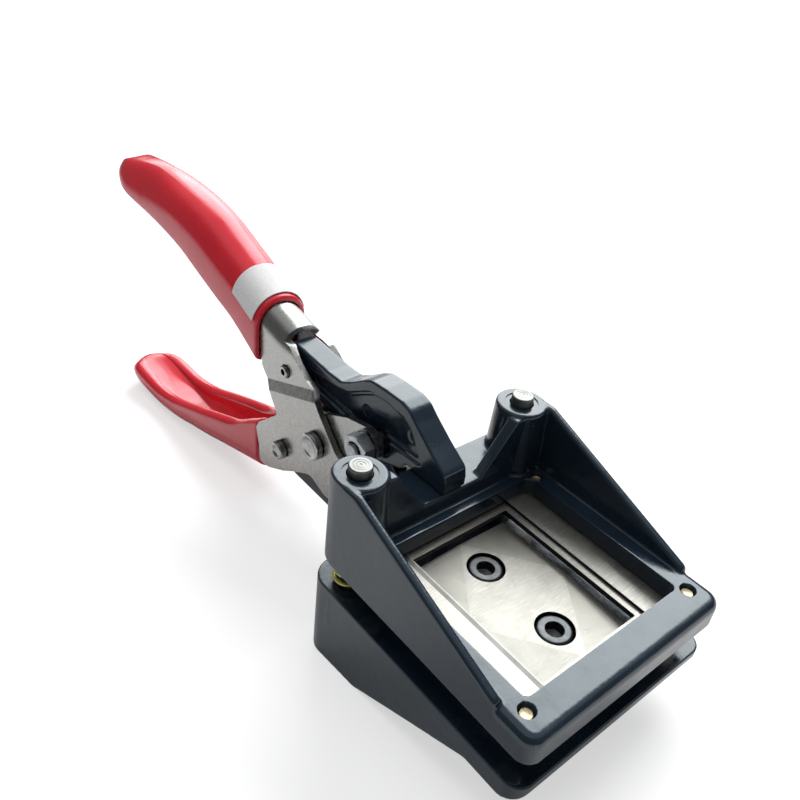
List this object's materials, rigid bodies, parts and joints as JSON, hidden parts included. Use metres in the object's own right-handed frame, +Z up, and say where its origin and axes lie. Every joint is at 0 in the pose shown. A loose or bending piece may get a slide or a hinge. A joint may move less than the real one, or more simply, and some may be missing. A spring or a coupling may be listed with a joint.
{
  "type": "photo die cutter",
  "caption": "Hand-held die cutter for small photographs: a spring-lifted frame with a die slides on posts over a fixed punch, pressed by an arm that the dipped plier grips pull down.",
  "frame": {"origin": "middle of the flat cutting face of the punch", "axes": "+Z up as the tool stands on a table, +Y back towards the grips, +X to the right seen from behind the grips; the tool itself is tipped about X by 6.83 degrees"},
  "size_m": [0.0622, 0.2277, 0.0897],
  "materials": {
    "black_enamel": "glossy black enamel on a casting",
    "black_oxide": "black oxide",
    "brass": "plain brass",
    "bright_steel": "bright turned steel",
    "ground_steel": "ground with a fine crosshatch",
    "red_vinyl": "glossy dip-moulded vinyl",
    "sheet_steel": "tumbled nickel-plated sheet",
    "white_paper": "plain white paper label",
    "yellow_zinc": "yellow zinc plate",
    "zinc_plate": "bright zinc plate"
  },
  "bodies": {
    "upper_handle": {"upper_handle_channel": "sheet_steel", "upper_grip": "red_vinyl", "size_label": "white_paper", "lower_frame": "black_enamel", "guide_post_left": "bright_steel", "guide_post_right": "bright_steel", "return_spring_left": "yellow_zinc", "return_spring_right": "yellow_zinc", "punch": "ground_steel", "punch_screw_front": "black_oxide", "punch_screw_rear": "black_oxide", "main_pivot_pin": "bright_steel", "stop_rivet": "bright_steel", "frame_rivet": "bright_steel", "arm_roll_pin": "bright_steel", "arm_spacer_left": "zinc_plate", "arm_spacer_right": "zinc_plate"},
    "lower_handle": {"lower_handle_channel": "sheet_steel", "lower_grip": "red_vinyl", "link_bolt": "zinc_plate", "link_nut": "zinc_plate", "link_washer_left": "zinc_plate", "link_washer_right": "zinc_plate"},
    "press_arm": {"press_arm": "black_enamel"},
    "upper_frame": {"upper_frame": "black_enamel", "die_plate": "ground_steel", "die_screw_front_left": "brass", "die_screw_front_right": "brass", "die_screw_rear_left": "brass", "die_screw_rear_right": "brass"}
  },
  "joints": [
    {"name": "press_stroke", "type": "slide", "parent": "upper_handle", "child": "upper_frame", "axis": [0, 0.119, -0.9929], "range_m": [0, 0.005], "stiffness_N_per_m": 3000, "springref_m": -0.003, "deforming": ["return_spring_left", "return_spring_right"]},
    {"name": "press_arm_hinge", "type": "hinge", "parent": "upper_handle", "child": "press_arm", "pos_m": [0, 0.08397, 0.02457], "axis": [1, 0, 0], "range_deg": [0, 4.71]},
    {"name": "lower_handle_hinge", "type": "hinge", "parent": "upper_handle", "child": "lower_handle", "pos_m": [0, 0.06839, 0.0092], "axis": [1, 0, 0], "range_deg": [0, 8.8]}
  ],
  "couplings": [
    {"joint": "press_arm_hinge", "follows": "press_stroke", "rad_per_m": 16.26},
    {"joint": "lower_handle_hinge", "follows": "press_stroke", "rad_per_m": 30.539}
  ]
}
